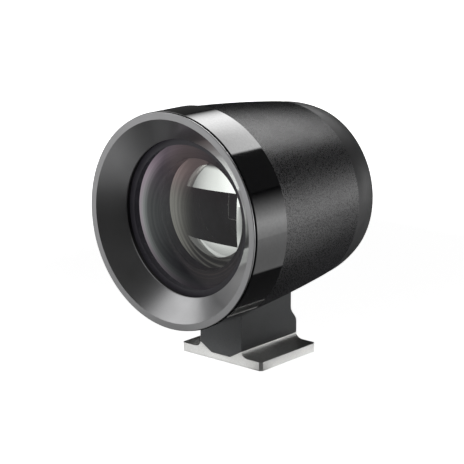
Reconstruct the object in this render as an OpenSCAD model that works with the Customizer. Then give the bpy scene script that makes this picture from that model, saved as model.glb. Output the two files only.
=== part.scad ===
// External optical viewfinder for a camera's accessory shoe: a reversed Galilean finder
// with a part-silvered mirror lens that shows a bright frame.
// Origin: centre of the foot's underside. +Z is up. The optical axis runs along Y, and the
// front lens faces -Y. Profiles are [radius, y] pairs, where y is the place along the axis.

/* [Barrel] */
// Height of the optical axis above the underside of the foot
axis_h = 27.5; // [26.8:0.1:29]
// Distance from the foot's centre forward to the front rim
front_reach = 20.5; // [20:0.1:22]
// Distance from the foot's centre back to the rear face
rear_reach = 16.3; // [16:0.1:18]
// Outside diameter of the front rim
rim_d = 37.2; // [37:0.1:38.6]
// How far the gloss band stands proud of the rim
band_proud = 0.12; // [0:0.02:0.2]
// Outside diameter of the textured shell at its rear end
shell_rear_d = 33; // [32.8:0.1:34]
// How far the shell's taper bulges beyond a straight cone
shell_bulge = 0.23; // [0.1:0.01:0.4]
// Length of the gloss band along the axis
band_len = 7.75; // [7:0.05:8]
// Length of the plain rear ring behind the shell
rear_ring_len = 6; // [5.8:0.1:6.4]

/* [Hood] */
// Width of the flat rim around the hood's mouth
rim_w = 1.18; // [0.9:0.02:1.4]
// Diameter of the opening at the bottom of the hood's cone
hood_bore_d = 27.3; // [26.6:0.1:27.6]
// Depth of the hood's cone
hood_depth = 3.6; // [3.3:0.1:3.8]
// Width of the dark groove between the rim and the gloss band
groove_w = 0.3; // [0.2:0.05:0.4]

/* [Lenses] */
// Radius of curvature of the front lens's front face
front_convex = 70; // [60:1:90]
// Radius of curvature of the front lens's hollow rear face
front_concave = 26; // [25:0.5:30]
// Thickness of the front lens at its middle
front_lens_t = 1.2; // [1:0.05:1.3]
// Radius of curvature of the mirror lens's silvered front face
mirror_convex = 36; // [32:1:44]
// Radius of curvature of the mirror lens's hollow rear face
mirror_concave = 60; // [50:1:90]
// Diameter of the mirror lens
mirror_lens_d = 22.6; // [22.2:0.1:23]
// Radius of curvature of the eye lens's front face
eye_convex = 45; // [35:1:70]
// Diameter of the eye lens
eye_lens_d = 15; // [14.4:0.1:15.2]
// Width of the clear window in the frame plate
window_w = 14.4; // [12:0.1:15]
// Height of the clear window in the frame plate
window_h = 9.6; // [8:0.1:10]

/* [Foot] */
// Width of the foot across the shoe's rails
foot_w = 18.6; // [18.4:0.05:18.6]
// Length of the foot along the optical axis
foot_len = 15.3; // [14.5:0.1:18]
// Thickness of the foot's wings, which slide under the rails
foot_t = 1.6; // [1.5:0.05:1.9]
// Width across the two ridges that carry the stem
ridge_w = 9.56; // [9.2:0.02:10.4]
// Height of the ridges above the underside
ridge_h = 2.65; // [2.4:0.05:2.9]
// Chamfer on the foot's four upright corners
foot_corner = 0.5; // [0.3:0.05:1]

/* [Fasteners] */
// Thread diameter of the four screws
screw_d = 2; // [1.6:0.1:2]
// Distance between the two foot screws
foot_screw_pitch = 9.2; // [8.6:0.1:9.6]
// Distance between the two saddle screws
saddle_screw_pitch = 6.4; // [6:0.1:7]

/* [Fits] */
// Gap between neighbouring pieces
gap = 0.05; // [0.03:0.01:0.06]

/* [Hidden] */
$fn = 96;

// Places along the axis, front to rear
y_rim = -front_reach;
y_mouth = y_rim + hood_depth;
rim_t = 0.25;
y_band = y_rim + rim_t + groove_w;
y_shell = y_band + band_len;
y_rear_ring = rear_reach - rear_ring_len;
lip_t = 0.25;
y_web = y_mouth + lip_t;
bezel_skirt = 2.05;
y_skirt = y_web + bezel_skirt;
retainer_t = 0.75;
retainer_r = hood_bore_d / 2 + 1.75;
y_tube = y_web + gap;
y_lens_bore = y_tube + retainer_t + gap;

// Radii of the outside
rim_r = rim_d / 2;
rim_inner_r = rim_r - rim_w;
hood_bore_r = hood_bore_d / 2;
band_r = rim_r + band_proud;
shell_front_r = rim_r - 0.12;
shell_rear_r = shell_rear_d / 2;
band_bore_r = rim_r - 0.85;
thread_r = band_bore_r - gap;
skirt_bore_r = band_bore_r - 1.15;
tube_r = skirt_bore_r - 2 * gap;
shell_bore_r = skirt_bore_r - 0.4;
rear_bore_r = shell_rear_r - 1.1;
edge = 0.08;

// Front lens
front_lens_r = hood_bore_r + 1.15;
front_rim_r = hood_bore_r - 1.1;
front_vertex = y_lens_bore - sag(front_convex, hood_bore_r + 0.1) + gap;
front_hollow_vertex = front_vertex + front_lens_t;
front_lens_back = front_hollow_vertex + sag(front_concave, front_rim_r);
seal_wire_r = 0.34;
seal_r = front_lens_r - 0.7;
y_seal = front_lens_back + seal_wire_r + gap / 2;

// Mirror lens, its seat and its ring
seat_land = 0.1;
y_front_seat = front_lens_back + seat_land;
mirror_lens_r = mirror_lens_d / 2;
mirror_clear_r = mirror_lens_r - 0.8;
ring_depth = 2.85;
y_mirror_seat = y_front_seat + ring_depth;
mirror_vertex = y_mirror_seat - sag(mirror_convex, mirror_clear_r);
mirror_edge_t = 2;
y_mirror_back = mirror_vertex + sag(mirror_convex, mirror_lens_r) + mirror_edge_t;
shim_t = 0.2;
y_shim_seat = y_mirror_back + shim_t + 2 * gap;
mirror_ring_r = mirror_lens_r + 1.3;

// Tube behind the mirror lens
y_flange_back = y_shim_seat + 1.6;
tube_rear_r = 12.5;
tube_bore_r = mirror_lens_r - 0.9;
tube_back_gap = 2.7;
y_tube_back = y_rear_ring - tube_back_gap;
stop_t = 0.8;
stop_bore_r = tube_bore_r - 1.3;

// Eyepiece cell, counted from its front face
y_cell = y_tube_back + 0.2;
plate_seat = 1.2;
flange_t = 1.1;
web_t = 1.4;
plate_r = 11;
plate_t = 0.5;
y_web_front = y_cell + plate_seat;
y_eye_seat = y_web_front + web_t;
eye_lens_r = eye_lens_d / 2;
eye_clear_r = eye_lens_r - 1.3;
eye_edge_t = 1.55;
eye_vertex = y_eye_seat + gap - sag(eye_convex, eye_clear_r);
y_eye_edge = eye_vertex + sag(eye_convex, eye_lens_r);
y_eye_back = y_eye_edge + eye_edge_t;
eye_ring_t = 1;
neck_wall = 1.3;
neck_r = eye_lens_r + gap + neck_wall;
y_neck = y_eye_back + eye_ring_t + 0.35;

// Rear ring and eyecup
cup_seat = 1.7;
y_cup_seat = rear_reach - cup_seat;
cup_r = 13.2;
cup_bore_r = 9.9;
rear_drop = 1.1;
rear_step = 0.15;

// Stem and foot
ridge_x = ridge_w / 2;
fillet_foot_x = ridge_x + 1.45;
recess_x = 2.15;
recess_z = 1.15;
stem_front_y = -foot_len / 2;
stem_rear_y = foot_len / 2;
waist = 1.6;
waist_low_z = 4.8;
waist_high_z = 7.8;
saddle_w = ridge_w + 0.9;
saddle_t = 1.25;
saddle_lip = 0.25;
screw_r = screw_d / 2;
head_r = screw_d * 0.9;
head_h = screw_d * 0.62;
sink_r = screw_d * 0.9;
sink_skin = 0.05;
foot_screw_len = 4.6;
saddle_screw_len = 5.4;
seat_z = axis_h - shell_bore_r - 0.15;
stem_top = axis_h - 14;

// Depth of a spherical face of radius ball at distance r from the axis
function sag(ball, r) = ball - sqrt(ball * ball - r * r);

// Outside radius of the textured shell at place y: a cone with a shallow bulge
function shell_r(y) =
    let (t = (y - y_shell) / (y_rear_ring - y_shell))
    shell_front_r + t * (shell_rear_r - shell_front_r) + 4 * shell_bulge * t * (1 - t);

// Points of the shell's outside between two places, in equal steps
function shell_line(from, to, steps) =
    [for (i = [0:steps]) let (y = from + (to - from) * i / steps) [shell_r(y), y]];

// Turns a shape drawn along +Z at the origin so that it lies along the optical axis
module on_axis() {
    translate([0, 0, axis_h]) rotate([-90, 0, 0]) children();
}

// Solid of revolution about the optical axis from a [radius, y] outline
module turned(outline) {
    on_axis() rotate_extrude() polygon(outline);
}

// Plain ring about the optical axis
module ring(outer, inner, from, to) {
    turned([[inner, from], [outer, from], [outer, to], [inner, to]]);
}

// Plain disc about the optical axis
module disc(r, from, to) {
    on_axis() translate([0, 0, from]) cylinder(r = r, h = to - from);
}

// Ball whose surface crosses the axis at the place vertex, with its centre behind that
module ball(r, vertex) {
    on_axis() translate([0, 0, vertex + r]) sphere(r = r, $fn = 200);
}

// Satin rim, hood cone and the threaded skirt inside the gloss band
module front_bezel() {
    color([0.45, 0.45, 0.46]) turned([
        [rim_inner_r, y_rim], [rim_r - edge, y_rim],
        [rim_r, y_rim + edge], [rim_r, y_rim + rim_t],
        [thread_r, y_rim + rim_t], [thread_r, y_skirt],
        [skirt_bore_r, y_skirt], [skirt_bore_r, y_web],
        [hood_bore_r, y_web], [hood_bore_r, y_mouth]
    ]);
}

// Polished black sleeve that joins the bezel to the shell
module gloss_band() {
    color([0.03, 0.03, 0.03]) turned([
        [band_bore_r, y_band], [band_r - edge, y_band],
        [band_r, y_band + edge], [band_r, y_shell - gap - edge],
        [band_r - edge, y_shell - gap], [band_bore_r, y_shell - gap]
    ]);
}

// Tapered shell with a crinkle finish, its front spigot and its stepped bore
module barrel_shell() {
    spigot = 2.2;
    wide_end = y_flange_back + gap;
    narrow_start = y_tube_back - 3.6;
    seat_y = y_cell - gap;
    seat_r = rear_bore_r - 0.4;
    color([0.1, 0.1, 0.1]) difference() {
        turned(concat(
            [[skirt_bore_r, y_shell - spigot], [thread_r, y_shell - spigot], [thread_r, y_shell]],
            shell_line(y_shell, y_rear_ring - gap, 12),
            [[rear_bore_r, y_rear_ring - gap], [rear_bore_r, seat_y],
             [seat_r, seat_y], [seat_r, narrow_start],
             [shell_bore_r, narrow_start], [shell_bore_r, wide_end],
             [skirt_bore_r, wide_end]]
        ));
        at_saddle_screws() {
            translate([0, 0, -10]) cylinder(r = screw_r + gap, h = 20);
            cylinder(r = head_r + 2 * gap, h = head_h + 1);
        }
    }
}

// Smooth rear ring: a curved outside, a spigot for the shell and a seat for the eyecup
module rear_ring() {
    front_r = shell_rear_r - rear_step;
    corner = 0.3;
    steps = 8;
    spigot_r = rear_bore_r - gap;
    spigot_front = y_cell + flange_t + gap;
    curve_len = rear_ring_len - corner;
    cavity_r = spigot_r - 1;
    color([0.13, 0.13, 0.13]) turned(concat(
        [[spigot_r, spigot_front], [spigot_r, y_rear_ring]],
        [for (i = [0:steps]) [front_r - rear_drop * pow(i / steps, 2),
                              y_rear_ring + curve_len * i / steps]],
        [[front_r - rear_drop - corner, rear_reach], [cup_r + gap, rear_reach],
         [cup_r + gap, y_cup_seat], [cup_bore_r, y_cup_seat],
         [neck_r + gap, y_neck + 0.1], [neck_r + gap, y_neck - 0.6],
         [cavity_r, y_neck - 1.2], [cavity_r, spigot_front]]
    ));
}

// Rubber ring that keeps the eyepiece off spectacles, with a rounded rear edge
module eyecup_ring() {
    proud = 0.35;
    back = rear_reach + proud;
    cup_front = y_cup_seat + gap;
    wall = cup_r - cup_bore_r - 0.6;
    round_r = wall / 2;
    mid_r = cup_r - round_r;
    color([0.05, 0.05, 0.05]) turned(concat(
        [[cup_bore_r, cup_front], [cup_r, cup_front]],
        [for (a = [0:15:180]) [mid_r + round_r * cos(a), back - 0.9 + 0.9 * sin(a)]]
    ));
}

// Thin black ring that holds the front lens in the tube
module front_retaining_ring() {
    color([0.02, 0.02, 0.02])
        ring(retainer_r, hood_bore_r + 0.1, y_tube, y_tube + retainer_t);
}

// Meniscus front lens: gently domed in front, deeply hollow behind
module front_lens() {
    color([0.55, 0.45, 0.6, 0.5]) difference() {
        intersection() {
            disc(front_lens_r, front_vertex - 1, front_lens_back);
            ball(front_convex, front_vertex);
        }
        ball(front_concave, front_hollow_vertex);
    }
}

// Rubber O-ring in a groove behind the front lens's rim
module front_lens_seal() {
    color([0.04, 0.04, 0.04])
        on_axis() rotate_extrude() translate([seal_r, y_seal]) circle(r = seal_wire_r, $fn = 48);
}

// Black ring that screws down on the mirror lens: a shallow cone in front of a flared bore
module mirror_lens_ring() {
    land = 0.25;
    y_edge = y_front_seat + 0.3;
    edge_r = mirror_clear_r - 0.5;
    color([0.04, 0.04, 0.04]) turned([
        [mirror_ring_r - gap, y_front_seat], [mirror_ring_r - gap, y_mirror_seat - gap],
        [mirror_clear_r, y_mirror_seat - gap], [edge_r, y_edge + land], [edge_r, y_edge]
    ]);
}

// Mirror lens: its domed front face carries the part-silvered coating
module mirror_lens() {
    color([0.8, 0.82, 0.85, 0.6]) difference() {
        intersection() {
            disc(mirror_lens_r, mirror_vertex - 1, y_mirror_back);
            ball(mirror_convex, mirror_vertex);
        }
        ball(mirror_concave, y_mirror_back - sag(mirror_concave, mirror_lens_r - 0.5));
    }
}

// Brass shim that sets the distance from the mirror to the frame plate
module focus_shim() {
    color([0.7, 0.58, 0.3])
        ring(mirror_lens_r - gap, tube_bore_r, y_mirror_back + gap, y_mirror_back + gap + shim_t);
}

// Black chassis tube that carries every lens, with a wide flange at the front
module optics_tube() {
    retainer_bore = retainer_r + gap;
    seal_half = seal_wire_r + 0.03;
    color([0.07, 0.07, 0.07]) difference() {
        turned([
            [retainer_bore, y_tube], [tube_r, y_tube], [tube_r, y_flange_back],
            [tube_rear_r, y_flange_back], [tube_rear_r, y_tube_back],
            [tube_bore_r, y_tube_back], [tube_bore_r, y_shim_seat],
            [mirror_lens_r + gap, y_shim_seat], [mirror_lens_r + gap, y_mirror_seat],
            [mirror_ring_r, y_mirror_seat], [mirror_ring_r, y_front_seat],
            [front_lens_r + gap, y_front_seat], [front_lens_r + gap, y_lens_bore],
            [retainer_bore, y_lens_bore]
        ]);
        ring(seal_r + seal_half, seal_r - seal_half, y_front_seat - 0.5, y_seal + seal_half);
    }
}

// Knife-edged ring halfway down the tube that traps stray light
module glare_stop() {
    outer = tube_bore_r - gap;
    color([0.03, 0.03, 0.03]) turned([
        [outer, 0], [outer, stop_t], [outer - 0.6, stop_t], [stop_bore_r, 0.1], [stop_bore_r, 0]
    ]);
}

// Ring that holds the frame plate down in the eyepiece cell
module frame_spacer() {
    color([0.05, 0.05, 0.05])
        ring(plate_r, plate_r - 1.4, y_cell + 0.05, y_web_front - plate_t - 2 * gap);
}

// Thin plate with a clear 3:2 window; its front face carries the white frame lines
module frame_plate() {
    back = y_web_front - gap;
    color([0.06, 0.06, 0.06]) difference() {
        disc(plate_r, back - plate_t, back);
        translate([0, back, axis_h]) cube([window_w, 3, window_h], center = true);
    }
}

// Cell that holds the frame plate and the eye lens
module eyepiece_cell() {
    flange_r = rear_bore_r - gap;
    shoulder_r = plate_r + 1.4;
    color([0.08, 0.08, 0.08]) turned([
        [plate_r + gap, y_cell], [flange_r, y_cell], [flange_r, y_cell + flange_t],
        [shoulder_r, y_cell + flange_t], [shoulder_r, y_eye_seat],
        [neck_r, y_eye_seat], [neck_r, y_neck],
        [eye_lens_r + gap, y_neck], [eye_lens_r + gap, y_eye_seat],
        [eye_clear_r, y_eye_seat], [eye_clear_r, y_web_front],
        [plate_r + gap, y_web_front]
    ]);
}

// Eye lens: domed towards the front, flat towards the eye
module eyepiece_lens() {
    color([0.6, 0.7, 0.75, 0.5]) intersection() {
        disc(eye_lens_r, eye_vertex - 1, y_eye_back);
        ball(eye_convex, eye_vertex);
    }
}

// Thin ring that holds the eye lens in its cell
module eyepiece_retaining_ring() {
    color([0.03, 0.03, 0.03])
        ring(eye_lens_r, eye_lens_r - 0.9, y_eye_back + gap, y_eye_back + eye_ring_t);
}

// Puts its children at the two saddle screws, with Z = 0 where their heads bear
module at_saddle_screws() {
    for (side = [-1, 1])
        translate([0, side * saddle_screw_pitch / 2, seat_z]) children();
}

// Puts its children at the two foot screws, with Z = 0 at the foot's underside
module at_foot_screws() {
    for (side = [-1, 1])
        translate([0, side * foot_screw_pitch / 2, 0]) children();
}

// Side outline of the stem in [y, z]: flush with the foot, then drawn in at the rear
module stem_side() {
    steps = 10;
    polygon(concat(
        [[stem_front_y, 0], [stem_rear_y, 0]],
        [for (i = [0:steps]) [stem_rear_y - waist * (1 - cos(180 * i / steps)) / 2,
                              waist_low_z + (waist_high_z - waist_low_z) * i / steps]],
        [[stem_rear_y - waist, stem_top], [stem_front_y, stem_top]]
    ));
}

// Front outline in [x, z] of the block above the foot's recess and ridges
module stem_front() {
    polygon([
        [-recess_x, recess_z + gap], [recess_x, recess_z + gap], [ridge_x, ridge_h + gap],
        [ridge_x, stem_top], [-ridge_x, stem_top], [-ridge_x, ridge_h + gap]
    ]);
}

// Stem: a block that stands in the foot's recess and ends in a saddle around the shell
module stem() {
    saddle_from = stem_front_y - saddle_lip;
    saddle_to = stem_rear_y - waist;
    bore_depth = screw_d * 2.1;
    color([0.16, 0.17, 0.18]) difference() {
        union() {
            intersection() {
                translate([0, foot_len, 0]) rotate([90, 0, 0])
                    linear_extrude(height = 2 * foot_len) stem_front();
                rotate([90, 0, 90]) translate([0, 0, -foot_w / 2])
                    linear_extrude(height = foot_w) stem_side();
            }
            intersection() {
                translate([-saddle_w / 2, saddle_from, 0])
                    cube([saddle_w, saddle_to - saddle_from, stem_top]);
                turned([
                    [0, saddle_from], [shell_r(saddle_from) + saddle_t, saddle_from],
                    [shell_r(saddle_to) + saddle_t / 4, saddle_to], [0, saddle_to]
                ]);
            }
        }
        turned(concat(
            [[0, y_shell]],
            [for (p = shell_line(y_shell, y_rear_ring, 12)) [p[0] + gap, p[1]]],
            [[0, y_rear_ring]]
        ));
        at_saddle_screws() translate([0, 0, -saddle_screw_len - 0.2])
            cylinder(r = screw_r + gap / 2, h = saddle_screw_len + 1);
        at_foot_screws() cylinder(r = screw_r + gap / 2, h = foot_screw_len + 0.2);
    }
}

// Cap screws that go down through the shell into the stem
module saddle_screws() {
    hex_r = screw_d * 0.43;
    color([0.5, 0.5, 0.52]) at_saddle_screws() difference() {
        union() {
            translate([0, 0, gap]) cylinder(r = head_r, h = head_h);
            translate([0, 0, -saddle_screw_len]) cylinder(r = screw_r, h = saddle_screw_len + 2 * gap);
        }
        translate([0, 0, head_h / 2]) cylinder(r = hex_r, h = head_h, $fn = 6);
    }
}

// Front outline in [x, z] of one side of the foot, from the wing in to the recess
function foot_side(sx) = concat(
    [[sx * foot_w / 2, 0], [sx * foot_w / 2, foot_t]],
    [for (a = [0:15:90]) [sx * (fillet_foot_x - (fillet_foot_x - ridge_x) * sin(a)),
                          foot_t + (ridge_h - foot_t) * (1 - cos(a))]],
    [[sx * recess_x, recess_z]]
);

// Shoe foot: two wings, two ridges with a hollow fillet, and a recess for the stem
module foot_plate() {
    cut = foot_corner * sqrt(2);
    left = foot_side(-1);
    outline = concat(foot_side(1), [for (i = [len(left) - 1:-1:0]) left[i]]);
    color([0.78, 0.78, 0.76]) difference() {
        translate([0, foot_len / 2, 0]) rotate([90, 0, 0])
            linear_extrude(height = foot_len) polygon(outline);
        for (sx = [-1, 1], sy = [-1, 1])
            translate([sx * foot_w / 2, sy * foot_len / 2, 0]) rotate([0, 0, 45])
                cube([cut, cut, 4 * foot_t], center = true);
        at_foot_screws() {
            translate([0, 0, -1]) cylinder(r = screw_r + gap, h = 4);
            sink(gap);
        }
    }
}

// Countersunk cone of a foot screw, grown by a margin
module sink(margin) {
    depth = (sink_r - screw_r) * 0.85;
    translate([0, 0, margin > 0 ? -0.01 : sink_skin])
        cylinder(r1 = sink_r + margin, r2 = screw_r + margin, h = depth);
}

// Countersunk screws that go up through the foot into the stem
module foot_screws() {
    slot_w = 0.4;
    color([0.62, 0.62, 0.6]) at_foot_screws() difference() {
        union() {
            sink(0);
            translate([0, 0, sink_skin]) cylinder(r = screw_r, h = foot_screw_len - sink_skin);
        }
        cube([4 * sink_r, slot_w, 0.8], center = true);
    }
}

front_bezel();
gloss_band();
barrel_shell();
rear_ring();
eyecup_ring();
front_retaining_ring();
front_lens();
front_lens_seal();
mirror_lens_ring();
mirror_lens();
focus_shim();
optics_tube();
glare_stop();
frame_spacer();
frame_plate();
eyepiece_cell();
eyepiece_lens();
eyepiece_retaining_ring();
stem();
saddle_screws();
foot_plate();
foot_screws();
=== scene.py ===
"""Looks for an external optical viewfinder that stands on its accessory-shoe foot.

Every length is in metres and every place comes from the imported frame. The optical axis
runs along Y, the front lens faces -Y, and the foot rests on the floor at z = 0.
"""
import math

import bpy
from mathutils import Matrix, Vector


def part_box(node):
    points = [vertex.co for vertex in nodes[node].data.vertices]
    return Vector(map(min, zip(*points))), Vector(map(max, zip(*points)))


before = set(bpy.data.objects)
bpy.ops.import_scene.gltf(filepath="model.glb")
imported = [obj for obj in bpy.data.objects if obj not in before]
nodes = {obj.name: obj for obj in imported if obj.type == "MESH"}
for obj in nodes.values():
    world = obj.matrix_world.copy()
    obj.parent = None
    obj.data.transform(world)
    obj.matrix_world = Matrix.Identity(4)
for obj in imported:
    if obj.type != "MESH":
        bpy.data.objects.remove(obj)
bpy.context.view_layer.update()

MM = 0.001
WHITE = (1.0, 1.0, 1.0)

BAND_LOW, BAND_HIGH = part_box("gloss_band")
AXIS_Z = (BAND_LOW.z + BAND_HIGH.z) / 2
CENTRE = (0, 0, AXIS_Z)
BARREL_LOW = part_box("barrel_shell")[0].z

# The lenses: where each starts, and the radii of its two faces
LENS_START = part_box("front_lens")[0].y
LENS_BALL, LENS_HOLLOW = 70 * MM, 26 * MM
MIRROR_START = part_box("mirror_lens")[0].y
MIRROR_BALL, MIRROR_REAR = 36 * MM, 60 * MM
EYE_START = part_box("eyepiece_lens")[0].y
EYE_BALL, FLAT = 45 * MM, 100.0


# ---------------------------------------------------------------- shader helpers

class Shader:
    """A material's node tree, with short calls to add and join nodes."""

    def __init__(self, name):
        self.material = bpy.data.materials.new(name)
        self.material.use_nodes = True
        self.tree = self.material.node_tree
        self.tree.nodes.clear()
        self.out = self.tree.nodes.new("ShaderNodeOutputMaterial")

    def add(self, kind, settings=None, **inputs):
        """Adds a node. Settings are its properties, and inputs are values or sockets."""
        made = self.tree.nodes.new("ShaderNode" + kind)
        for key, value in (settings or {}).items():
            setattr(made, key, value)
        for key, value in inputs.items():
            self.put(made, key.replace("_", " "), value)
        return made

    def put(self, made, key, value):
        """Sets one input of a node, by name or by number, to a value or to a socket."""
        if key.isdigit():
            socket = made.inputs[int(key)]
        else:
            socket = next(s for s in made.inputs if s.name.lower() == key.lower() and s.enabled)
        if isinstance(value, bpy.types.NodeSocket):
            self.tree.links.new(value, socket)
        elif isinstance(value, tuple) and len(value) == 3 and socket.type == "RGBA":
            socket.default_value = (*value, 1.0)
        else:
            socket.default_value = value

    def math(self, operation, a, b=0.0, clamp=False):
        """A math node's result."""
        made = self.tree.nodes.new("ShaderNodeMath")
        made.operation = operation
        made.use_clamp = clamp
        self.put(made, "0", a)
        self.put(made, "1", b)
        return made.outputs[0]

    def times(self, *values):
        """The product of some values and sockets."""
        result = values[0]
        for value in values[1:]:
            result = self.math("MULTIPLY", result, value)
        return result

    def total(self, *values):
        """The sum of some values and sockets."""
        result = values[0]
        for value in values[1:]:
            result = self.math("ADD", result, value)
        return result

    def less(self, a, b):
        """a less b."""
        return self.math("SUBTRACT", a, b)

    def mix_colour(self, share, a, b):
        """Colour a where share is 0 and colour b where it is 1."""
        made = self.add("Mix", {"data_type": "RGBA"})
        for number, value in ((0, share), (6, a), (7, b)):
            self.put(made, str(number), value)
        return made.outputs[2]

    def mix_shader(self, share, a, b):
        """Shader a where share is 0 and shader b where it is 1."""
        made = self.tree.nodes.new("ShaderNodeMixShader")
        self.put(made, "0", share)
        self.tree.links.new(a, made.inputs[1])
        self.tree.links.new(b, made.inputs[2])
        return made.outputs[0]

    def both(self, a, b):
        """The light of two shaders together."""
        made = self.tree.nodes.new("ShaderNodeAddShader")
        self.tree.links.new(a, made.inputs[0])
        self.tree.links.new(b, made.inputs[1])
        return made.outputs[0]

    def ramp(self, value, low, high, to_low=0.0, to_high=1.0):
        """Maps low..high to to_low..to_high, smoothly and clamped."""
        made = self.add("MapRange", {"interpolation_type": "SMOOTHSTEP"})
        for key, number in (("Value", value), ("From Min", low), ("From Max", high),
                            ("To Min", to_low), ("To Max", to_high)):
            self.put(made, key, number)
        return made.outputs[0]

    def place(self):
        """The shaded point in the frame, and its x, y and height over the optical axis."""
        coord = self.add("TexCoord").outputs["Object"]
        parts = self.add("SeparateXYZ", Vector=coord)
        return coord, parts.outputs[0], parts.outputs[1], self.less(parts.outputs[2], AXIS_Z)

    def radius(self, x, z):
        """Distance from the origin of a point at x and z, across the optical axis."""
        return self.math("SQRT", self.total(self.times(x, x), self.times(z, z)))

    def noise(self, coord, size, detail=2.0, rough=0.5):
        """Cloud noise whose lumps are about this size in metres."""
        made = self.add("TexNoise", {"noise_dimensions": "3D"}, Vector=coord, Scale=1 / size,
                        Detail=detail, Roughness=rough)
        return made.outputs[0]

    def rings(self, size, where, detail=2.0):
        """Noise that changes only with where, in bands of about this size in metres."""
        made = self.add("TexNoise", {"noise_dimensions": "1D"}, Scale=1 / size, Detail=detail,
                        W=where)
        return made.outputs[0]

    def end(self, shader):
        """Sends a shader to the surface and returns the material."""
        self.tree.links.new(shader, self.out.inputs["Surface"])
        return self.material


def scaled(colour, by):
    """A colour made lighter or darker."""
    return tuple(min(1.0, c * by) for c in colour)


def coat_of(name, colour, rough, grain, metallic=0.0, bump=0.0, spread=0.15, smear=0.06,
            coat=0.0, specular=0.5, round_edge=0.0, turned=0.0, sheen_loss=0.0):
    """A solid finish. grain is the size of its specks and bump their height, both in mm.
    spread is how far the specks differ in lightness, smear how far handling marks change
    the roughness, and turned the strength of the fine rings a lathe leaves. sheen_loss is
    how much of its shine the finish loses when it is seen edge on."""
    s = Shader(name)
    coord, x, y, z = s.place()
    specks = s.noise(coord, grain * MM, 3.0, 0.65)
    clouds = s.noise(coord, 6 * MM, 3.0)
    tone = s.ramp(specks, 0.3, 0.7)
    tint = s.mix_colour(tone, scaled(colour, 1 - spread), scaled(colour, 1 + spread))
    tint = s.mix_colour(s.ramp(clouds, 0.3, 0.75, 0.0, 0.35), tint, scaled(colour, 0.85))
    uneven = s.math("ADD", s.ramp(clouds, 0.3, 0.7, rough - smear, rough + smear),
                    s.ramp(specks, 0.3, 0.7, -spread * 0.2, spread * 0.2), clamp=True)
    height = specks
    if turned:
        height = s.mix_colour(turned, specks, s.rings(0.09 * MM, s.total(s.radius(x, z), y)))
    body = s.add("BsdfPrincipled", Base_Color=tint, Metallic=metallic, Roughness=uneven)
    shine = s.ramp(specks, 0.35, 0.65, specular * (1 - spread), specular * (1 + spread))
    s.put(body, "Specular IOR Level", shine)
    s.put(body, "Coat Weight", coat)
    s.put(body, "Coat Roughness", 0.03 if rough < 0.1 else 0.14)
    edge = s.add("Bevel", {"samples": 4}, Radius=round_edge * MM).outputs[0] if round_edge else None
    if bump:
        dent = s.add("Bump", Strength=1.0, Distance=bump * MM, Height=height)
        if edge:
            s.put(dent, "Normal", edge)
        edge = dent.outputs[0]
    if edge:
        s.put(body, "Normal", edge)
    shader = body.outputs[0]
    if sheen_loss:
        matt = s.add("BsdfDiffuse", Color=tint).outputs[0]
        edge_on = s.add("LayerWeight").outputs["Facing"]
        shader = s.mix_shader(s.ramp(edge_on, 0.35, 0.85, 0.0, sheen_loss), shader, matt)
    return s.end(shader)


# ---------------------------------------------------------------- glass

IOR_GLASS = 1.52


def clear_glass(s, normal):
    """Glass that only bends the light."""
    return s.add("BsdfRefraction", Color=(0.95, 0.96, 0.95), Roughness=0.0, IOR=IOR_GLASS,
                 Normal=normal).outputs[0]


def filmed_glass(s, film, gain, normal):
    """Clear glass with a film that mirrors its own colour, most strongly at a slant."""
    shine = s.add("BsdfGlossy", Color=film, Roughness=0.0, Normal=normal).outputs[0]
    thrown_back = s.add("Fresnel", IOR=IOR_GLASS, Normal=normal).outputs[0]
    slant = s.math("POWER", s.math("DIVIDE", thrown_back, 0.05), 1.5)
    share = s.math("MULTIPLY", s.times(thrown_back, slant), gain, clamp=True)
    return s.mix_shader(share, clear_glass(s, normal), shine)


def front_side(s, x, y, z, start, ball, skin):
    """1 on a lens's front face and 0 elsewhere. The face starts at start and has the radius
    ball, and skin is how far behind it a point still counts."""
    radius = s.radius(x, z)
    dome = s.math("DIVIDE", s.times(radius, radius), 2 * ball)
    return s.math("LESS_THAN", s.less(y, dome), start + skin)


def ball_normal(s, x, z, on_front, front_ball, rear_ball):
    """Exact normal of a lens face with its middle on the axis, so that no facets show."""
    behind = s.less(1.0, on_front)
    curve = s.total(s.times(on_front, 1 / front_ball), s.times(behind, 1 / rear_ball))
    across, up = s.times(x, curve), s.times(z, curve)
    squares = s.total(s.times(across, across), s.times(up, up))
    along = s.math("SQRT", s.math("MAXIMUM", s.less(1.0, squares), 0.01))
    from_inside = s.add("NewGeometry").outputs["Backfacing"]
    turn = s.times(s.less(behind, on_front), s.less(1.0, s.times(from_inside, 2.0)))
    return s.add("CombineXYZ", X=s.times(across, turn, -1.0), Y=s.times(along, turn),
                 Z=s.times(up, turn, -1.0)).outputs[0]


def veil(s, shader, colour, strength):
    """Adds an emission of this colour and strength: painted light that stands in for the faint
    light a surface throws back, so it needs no light paths.
    """
    return s.both(shader, s.add("Emission", Color=colour, Strength=strength).outputs[0])


def let_light_in(s, shader):
    """Soft light and shadow pass straight through, so that what lies behind is lit."""
    path = s.add("LightPath").outputs
    soft = s.math("MAXIMUM", path["Is Shadow Ray"], path["Is Diffuse Ray"])
    clear = s.add("BsdfTransparent", Color=(0.9, 0.9, 0.9)).outputs[0]
    return s.mix_shader(soft, shader, clear)


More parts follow.
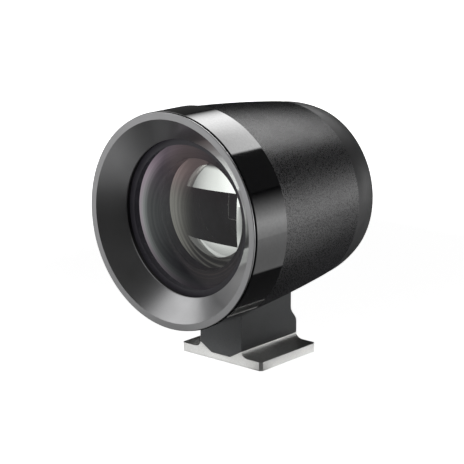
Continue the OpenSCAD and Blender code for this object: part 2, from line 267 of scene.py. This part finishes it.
def crescent(s, x, z, radius):
    """Strength of the painted reflection, a purple crescent painted at the left of the front lens's
    rear face.
    """
    mirrored = s.add("SeparateXYZ", Vector=s.add("TexCoord").outputs["Reflection"]).outputs[0]
    return s.times(s.ramp(radius, 9.3 * MM, 12.2 * MM, 0.24, 1.0),
                   s.ramp(x, 0.0, -11.5 * MM, 0.16, 1.0),
                   s.ramp(z, -11 * MM, -1 * MM, 0.4, 1.0),
                   s.ramp(z, 5 * MM, 11 * MM, 1.0, 0.55),
                   s.ramp(mirrored, 0.1, -0.55, 0.3, 1.0),
                   s.ramp(s.rings(0.6 * MM, radius, 3.0), 0.3, 0.7, 0.88, 1.12), 0.27)


def front_glass(name, ink_radius):
    """The front lens, a meniscus with a purple coating that is inked beyond ink_radius. The
    coating's purple shows only as painted reflection: an emission crescent on the rear face and a
    faint emission sheen on the front. Its rear face goes dark where it would throw all light back."""
    s = Shader(name)
    coord, x, y, z = s.place()
    radius = s.radius(x, z)
    inked = s.math("GREATER_THAN", radius, ink_radius)
    ink = s.add("BsdfPrincipled", Base_Color=(0.012, 0.011, 0.014), Roughness=0.5).outputs[0]
    on_front = front_side(s, x, y, z, LENS_START, LENS_BALL, 0.4 * MM)
    behind = s.less(1.0, on_front)
    normal = ball_normal(s, x, z, on_front, LENS_BALL, LENS_HOLLOW)
    thrown_back = s.ramp(s.add("Fresnel", IOR=IOR_GLASS, Normal=normal).outputs[0], 0.06, 0.3)
    dark = s.add("BsdfDiffuse", Color=(0.0, 0.0, 0.0)).outputs[0]
    glass = s.mix_shader(s.times(thrown_back, behind), clear_glass(s, normal), dark)
    body = let_light_in(s, s.mix_shader(inked, glass, ink))

    path = s.add("LightPath").outputs
    first_pass = s.math("LESS_THAN", path["Transmission Depth"], 1.5)
    # Painted reflection: the purple crescent on the rear face is an emission in these colours,
    # pinker towards the rim and the top
    film = s.mix_colour(s.ramp(radius, 10.8 * MM, 12.4 * MM), (0.93, 1.0, 0.97), (1.0, 0.89, 0.98))
    film = s.mix_colour(s.ramp(z, 0.0, 9 * MM), film, (1.0, 0.80, 0.95))
    body = veil(s, body, film, s.times(crescent(s, x, z, radius), s.less(1.0, inked), behind,
                                       first_pass))

    # Painted reflection: emission on the front face, seen only by glossy rays, paints the light
    # that the hood's cone sees in this lens from below and from the upper right
    painted_light_from_below = s.ramp(z, -3 * MM, -9 * MM, 0.0, 0.32)
    painted_light_upper_right = s.times(s.ramp(z, 0.0, 5 * MM), s.ramp(x, 0.0, 6 * MM, 0.0, 0.28))
    shine = s.times(s.total(painted_light_from_below, painted_light_upper_right), on_front, path["Is Glossy Ray"])
    body = veil(s, body, WHITE, shine)
    # Painted sheen: a faint mottled purple emission over the whole front face
    painted_sheen = s.ramp(s.noise(coord, 3 * MM, 4.0, 0.6), 0.35, 0.8, 0.011, 0.016)
    return s.end(veil(s, body, (0.85, 0.80, 1.0), s.times(on_front, painted_sheen)))


def eye_glass(name, ink_radius):
    """The eye lens, blue-coated, with an inked edge."""
    s = Shader(name)
    x, y, z = s.place()[1:]
    ink = s.add("BsdfPrincipled", Base_Color=(0.010, 0.009, 0.012), Roughness=0.5).outputs[0]
    inked = s.math("GREATER_THAN", s.radius(x, z), ink_radius)
    on_front = front_side(s, x, y, z, EYE_START, EYE_BALL, 0.3 * MM)
    normal = ball_normal(s, x, z, on_front, EYE_BALL, FLAT)
    glass = let_light_in(s, filmed_glass(s, (0.45, 0.55, 0.85), 0.9, normal))
    return s.end(s.mix_shader(inked, glass, ink))


def mirror_glass(name):
    """The second lens: silvered on its front face around a clear 3:2 window. Outside a circle that
    lies to the right of the axis the silver is painted dimmer, a painted shade that sets where the
    bright reflected disc ends."""
    s = Shader(name)
    coord, x, y, z = s.place()
    front_depth = 1.75 * MM
    on_front = s.math("LESS_THAN", y, MIRROR_START + front_depth)
    normal = ball_normal(s, x, z, on_front, MIRROR_BALL, MIRROR_REAR)

    half_w, half_h, drop, blur = 7.63 * MM, 4.83 * MM, 0.19 * MM, 0.04 * MM
    beside = s.ramp(s.math("ABSOLUTE", x), half_w - blur, half_w + blur)
    above = s.ramp(s.math("ABSOLUTE", s.total(z, drop)), half_h - blur, half_h + blur)
    around = s.math("MAXIMUM", beside, above)
    # Painted shade: the silver is painted dimmer outside this off-centre circle, which places the
    # edge of the bright reflected disc
    disc_edge_r, disc_edge_x, disc_edge_z = 9.65 * MM, 6.3 * MM, 1.2 * MM
    off_centre = s.radius(s.less(x, disc_edge_x), s.less(z, disc_edge_z))
    coated = s.ramp(off_centre, disc_edge_r, disc_edge_r - 0.2 * MM)
    tone = s.mix_colour(s.noise(coord, 4 * MM), (0.86, 0.87, 0.86), (0.93, 0.93, 0.92))
    tone = s.mix_colour(coated, (0.30, 0.30, 0.29), tone)
    silver = s.add("BsdfGlossy", Color=tone, Roughness=0.0, Normal=normal).outputs[0]
    part = s.mix_shader(s.times(around, on_front), clear_glass(s, normal), silver)

    # Painted light: emission on the front face paints a glow at the left, faint bright arcs low
    # down, a brown glow at the top outside the disc and a faint even glow everywhere, warmer and
    # pinker towards the top
    rings = s.rings(0.7 * MM, s.radius(s.less(x, 3 * MM), z))
    painted_left_glow = s.times(s.math("POWER", s.ramp(x, -9.6 * MM, -0.5 * MM, 1.0, 0.0), 1.5),
                        s.ramp(rings, 0.35, 0.65, 0.125, 0.175))
    painted_low_arcs = s.times(s.ramp(z, -5 * MM, -8 * MM), s.ramp(rings, 0.45, 0.65, 0.0, 0.05))
    painted_brown_ghost = s.times(s.ramp(z, 3.0 * MM, 8.0 * MM, 0.0, 0.06),
                          s.ramp(off_centre, disc_edge_r, disc_edge_r + 0.4 * MM))
    power = s.total(painted_left_glow, painted_low_arcs, painted_brown_ghost, 0.015)
    tint = s.mix_colour(s.ramp(z, 1.0 * MM, 7.5 * MM), (1.0, 0.98, 0.88), (1.0, 0.76, 0.74))
    return s.end(veil(s, let_light_in(s, part), tint, s.times(power, on_front)))


def grooved_ring(name):
    """The dark grooved ring around the mirror lens, with a faint brown glow at its upper left and
    faint bright arcs at its bottom, both painted light: emission added over the ring."""
    s = Shader(name)
    x, y, z = s.place()[1:]
    grooves = s.rings(0.25 * MM, s.radius(x, z))
    tone = s.mix_colour(grooves, (0.010, 0.008, 0.008), (0.022, 0.017, 0.016))
    body = s.add("BsdfPrincipled", Base_Color=tone, Roughness=0.5)
    s.put(body, "Specular IOR Level", 0.2)
    # Painted light: emission paints the brown glow at the upper left and the bright arcs low down
    ghost = s.times(s.ramp(z, 3 * MM, 9 * MM, 0.0, 0.032), s.ramp(x, 6 * MM, -2 * MM),
                    s.ramp(x, -10 * MM, -5 * MM))
    arcs = s.times(s.ramp(z, -4 * MM, -9 * MM), s.ramp(grooves, 0.45, 0.7, 0.0, 0.018))
    return s.end(veil(s, body.outputs[0], (1.0, 0.70, 0.66), s.total(ghost, arcs)))


def frame_lines(name):
    """Blackened plate with white frame lines and two short parallax marks on its front."""
    s = Shader(name)
    coord, x, y, z = s.place()
    wide, high = s.math("ABSOLUTE", x), s.math("ABSOLUTE", z)

    def band(value, centre, half):
        """1 within half of centre, and 0 outside."""
        return s.math("LESS_THAN", s.math("ABSOLUTE", s.less(value, centre)), half)

    line_w, line_x, line_z = 0.12 * MM, 7.9 * MM, 5.3 * MM
    upright = s.times(band(wide, line_x, line_w), s.math("LESS_THAN", high, line_z))
    level = s.times(band(high, line_z, line_w), s.math("LESS_THAN", wide, line_x))
    marks = s.times(band(z, 4.4 * MM, line_w), band(wide, 8.6 * MM, 0.7 * MM))
    drawn = s.math("MAXIMUM", s.math("MAXIMUM", upright, level), marks)
    tint = s.mix_colour(drawn, (0.012, 0.012, 0.012), (0.85, 0.85, 0.82))
    rough = s.ramp(s.noise(coord, 0.2 * MM), 0.3, 0.7, 0.5, 0.7)
    body = s.add("BsdfPrincipled", Base_Color=tint, Roughness=rough)
    return s.end(body.outputs[0])


# ---------------------------------------------------------------- finishes on the pieces

GREY = (0.30, 0.30, 0.305)
OPTICAL = coat_of("optical_black", (0.016, 0.016, 0.017), 0.58, grain=0.08, bump=0.004,
                  specular=0.25, sheen_loss=0.9)
TUBE_BLACK = coat_of("tube_black", (0.004, 0.004, 0.004), 0.85, grain=0.1, specular=0.0,
                     sheen_loss=1.0)
RUBBER = coat_of("rubber_black", (0.022, 0.022, 0.023), 0.72, grain=0.3, bump=0.01)
SCREW = coat_of("screw_steel", (0.50, 0.50, 0.49), 0.32, metallic=1.0, grain=0.2, turned=0.5,
                bump=0.003)

FINISHES = {
    "front_bezel": coat_of("satin_grey", GREY, 0.34, metallic=1.0, grain=0.05, bump=0.0025,
                           spread=0.08, turned=0.7, smear=0.03, round_edge=0.06, coat=0.8),
    "gloss_band": coat_of("gloss_black", (0.006, 0.006, 0.007), 0.06, grain=0.5, spread=0.1,
                          smear=0.02, coat=0.6, round_edge=0.02),
    "barrel_shell": coat_of("crinkle_black", (0.016, 0.016, 0.017), 0.31, grain=0.20, bump=0.02,
                            spread=0.75, smear=0.02, specular=0.62, sheen_loss=0.85),
    "rear_ring": coat_of("satin_black", (0.030, 0.030, 0.031), 0.42, grain=0.06, bump=0.002,
                         turned=0.4, specular=0.25),
    "stem": coat_of("stem_black", (0.037, 0.039, 0.041), 0.45, grain=0.08, bump=0.003,
                    round_edge=0.08),
    "foot_plate": coat_of("foot_steel", (0.85, 0.85, 0.83), 0.44, metallic=0.85, grain=0.12,
                          bump=0.006, spread=0.12, round_edge=0.06),
    "mirror_lens_ring": grooved_ring("grooved_black"),
    "optics_tube": TUBE_BLACK,
    "foot_screws": SCREW,
    "saddle_screws": SCREW,
    "eyecup_ring": RUBBER,
    "front_lens_seal": RUBBER,
    "front_lens": front_glass("front_glass", 12.53 * MM),
    "eyepiece_lens": eye_glass("eye_glass", 7.4 * MM),
    "mirror_lens": mirror_glass("mirror_glass"),
    "frame_plate": frame_lines("frame_lines"),
    "focus_shim": coat_of("shim_brass", (0.70, 0.52, 0.24), 0.3, metallic=1.0, grain=0.2),
}
for name, part in nodes.items():
    part.data.materials.clear()
    part.data.materials.append(FINISHES.get(name, OPTICAL))


# ---------------------------------------------------------------- floor, light and camera

def new_mesh(name, corners):
    """A single flat panel from its corners, in metres."""
    mesh = bpy.data.meshes.new(name)
    mesh.from_pydata(corners, [], [tuple(range(len(corners)))])
    made = bpy.data.objects.new(name, mesh)
    bpy.context.scene.collection.objects.link(made)
    return made


def floor():
    """Pale floor. It stays white to the camera, lights the object from all sides but the
    front right, and is mirrored as three cards: at the right, in front and near the foot."""
    size = 3.0
    plane = new_mesh("floor", [(-size, -size, 0), (size, -size, 0), (size, size, 0),
                               (-size, size, 0)])
    s = Shader("floor_paper")
    coord = s.add("TexCoord").outputs["Object"]
    x, y = s.add("SeparateXYZ", Vector=coord).outputs[:2]
    paper = s.mix_colour(s.noise(coord, 2 * MM, 4.0), (0.90, 0.90, 0.90), (0.94, 0.94, 0.94))
    matt = s.add("BsdfDiffuse", Color=paper).outputs[0]
    seen = s.both(matt, s.add("Emission", Color=WHITE, Strength=0.97).outputs[0])

    right_card = s.times(s.ramp(x, 29 * MM, 31 * MM), s.ramp(y, -22 * MM, -8 * MM),
                         s.ramp(x, 20 * MM, 160 * MM, 0.6, 2.2),
                         s.ramp(y, 110 * MM, 240 * MM, 1.0, 1.15))
    front_card = s.times(s.ramp(x, 30 * MM, -10 * MM), s.ramp(y, -24 * MM, -48 * MM),
                         s.ramp(y, -60 * MM, -170 * MM, 0.76, 1.0),
                         s.ramp(x, -40 * MM, -90 * MM, 0.86, 1.0))
    foot_front = s.times(s.ramp(x, 10 * MM, 5 * MM), s.ramp(y, -17 * MM, -14 * MM),
                         s.ramp(y, -7 * MM, -8.5 * MM))
    foot_right = s.times(s.ramp(y, -8 * MM, -3 * MM), s.ramp(x, 9 * MM, 9.5 * MM),
                         s.ramp(x, 14 * MM, 12.5 * MM))
    # Only the low foot sees the near cards. Steeper rays come from the barrel's underside
    steep = s.add("SeparateXYZ", Vector=s.add("NewGeometry").outputs["Incoming"]).outputs[2]
    near = s.times(s.total(foot_front, foot_right), s.ramp(steep, 0.40, 0.56, 0.94, 0.0))
    cards = s.total(right_card, front_card, near, 0.03)

    path = s.add("LightPath").outputs
    soft = path["Is Diffuse Ray"]
    front_right = s.math("MINIMUM", s.ramp(x, 4 * MM, 12 * MM), s.ramp(y, -2 * MM, -10 * MM))
    white = s.times(s.less(1.0, front_right), 2.4)
    power = s.total(s.times(soft, white), s.times(s.less(1.0, soft), cards))
    bounce = s.add("Emission", Color=WHITE, Strength=power).outputs[0]
    plane.data.materials.append(s.end(s.mix_shader(path["Is Camera Ray"], bounce, seen)))


def softbox(name, centre, aim, width, height, strength, fades):
    """A glowing panel that faces aim. Its four edges (left, right, low and high, as seen
    from the aim) each fade over their own share of its size."""
    half_w, half_h = width / 2, height / 2
    panel = new_mesh(name, [(-half_w, -half_h, 0), (half_w, -half_h, 0), (half_w, half_h, 0),
                            (-half_w, half_h, 0)])
    away = (Vector(centre) - Vector(aim)).normalized()
    across = away.cross((0, 0, 1)).normalized() if abs(away.z) < 0.99 else Vector((1, 0, 0))
    basis = Matrix((across, across.cross(away), away)).transposed().to_4x4()
    panel.matrix_world = Matrix.Translation(centre) @ basis
    s = Shader(name + "_glow")
    parts = s.add("SeparateXYZ", Vector=s.add("TexCoord").outputs["Object"]).outputs
    power = strength
    for part, half, low_fade, high_fade in ((parts[0], half_w, fades[0], fades[1]),
                                            (parts[1], half_h, fades[2], fades[3])):
        power = s.times(power, s.ramp(part, -half, half * (2 * low_fade - 1)),
                        s.ramp(part, half, half * (1 - 2 * high_fade)))
    panel.data.materials.append(s.end(s.add("Emission", Color=WHITE, Strength=power).outputs[0]))
    panel.visible_camera = False


def flag():
    """A black sheet under and behind the barrel that keeps the top light off the foot."""
    gap = 0.3 * MM
    corners = ((-90, -8), (-11, -8), (-11, 9), (10, 9), (10, 110), (-90, 110))
    sheet = new_mesh("flag", [(x * MM, y * MM, BARREL_LOW - gap) for x, y in corners])
    s = Shader("flag_black")
    matt = s.add("BsdfDiffuse", Color=(0.004, 0.004, 0.004)).outputs[0]
    sheet.data.materials.append(s.end(matt))
    sheet.visible_camera = False


def backdrop():
    """Surroundings: white to the camera, dim to everything else."""
    world = bpy.data.worlds.new("studio")
    bpy.context.scene.world = world
    world.use_nodes = True
    tree = world.node_tree
    tree.nodes.clear()
    out = tree.nodes.new("ShaderNodeOutputWorld")
    path = tree.nodes.new("ShaderNodeLightPath")
    mix = tree.nodes.new("ShaderNodeMixShader")
    tree.links.new(path.outputs["Is Camera Ray"], mix.inputs[0])
    for number, strength in ((1, 0.05), (2, 1.0)):
        sky = tree.nodes.new("ShaderNodeBackground")
        sky.inputs[0].default_value = (*WHITE, 1.0)
        sky.inputs[1].default_value = strength
        tree.links.new(sky.outputs[0], mix.inputs[number])
    tree.links.new(mix.outputs[0], out.inputs[0])


def camera():
    """The reference view: from the front right, a little above, with a long lens."""
    azimuth, elevation = math.radians(40.33), math.radians(13.82)
    distance, target_z = 302.2 * MM, 23.2 * MM
    back = Vector((math.sin(azimuth) * math.cos(elevation),
                   -math.cos(azimuth) * math.cos(elevation), math.sin(elevation)))
    right = Vector((math.cos(azimuth), math.sin(azimuth), 0))
    up = back.cross(right)
    turn_left, turn_down = 0.00983, 0.00382
    look = -(back + right * turn_left + up * turn_down).normalized()
    side = look.cross(up).normalized()
    basis = Matrix((side, side.cross(look), -look)).transposed().to_4x4()
    data = bpy.data.cameras.new("camera")
    data.lens = 132.7
    data.clip_start, data.clip_end = 0.01, 20
    made = bpy.data.objects.new("camera", data)
    bpy.context.scene.collection.objects.link(made)
    made.matrix_world = Matrix.Translation(Vector((0, 0, target_z)) + back * distance) @ basis
    bpy.context.scene.camera = made


floor()
flag()
backdrop()
OVER = (-0.285, 0.67)
softbox("top_panel", (*OVER, 0.50), (*OVER, 0), 0.90, 0.58, 4.3, (0.55, 0.03, 0.25, 0.25))
softbox("front_panel", (-0.30, -0.60, 0.08), CENTRE, 1.20, 0.60, 1.05, (0.1, 0.6, 0.35, 0.1))
softbox("upper_left_panel", (-0.49, -0.25, 0.46), CENTRE, 1.00, 0.72, 2.0, (0.4,) * 4)
softbox("right_panel", (0.42, 0.50, 0.0), CENTRE, 0.90, 0.50, 4.4, (0.1, 0.1, 0.1, 0.9))
camera()

scene = bpy.context.scene
scene.view_settings.view_transform = "Standard"
scene.cycles.max_bounces = 16
scene.cycles.transmission_bounces = 14
scene.cycles.glossy_bounces = 8
scene.cycles.transparent_max_bounces = 16
scene.cycles.caustics_reflective = True
scene.cycles.caustics_refractive = True
scene.cycles.sample_clamp_indirect = 6.0
scene.cycles.use_denoising = True
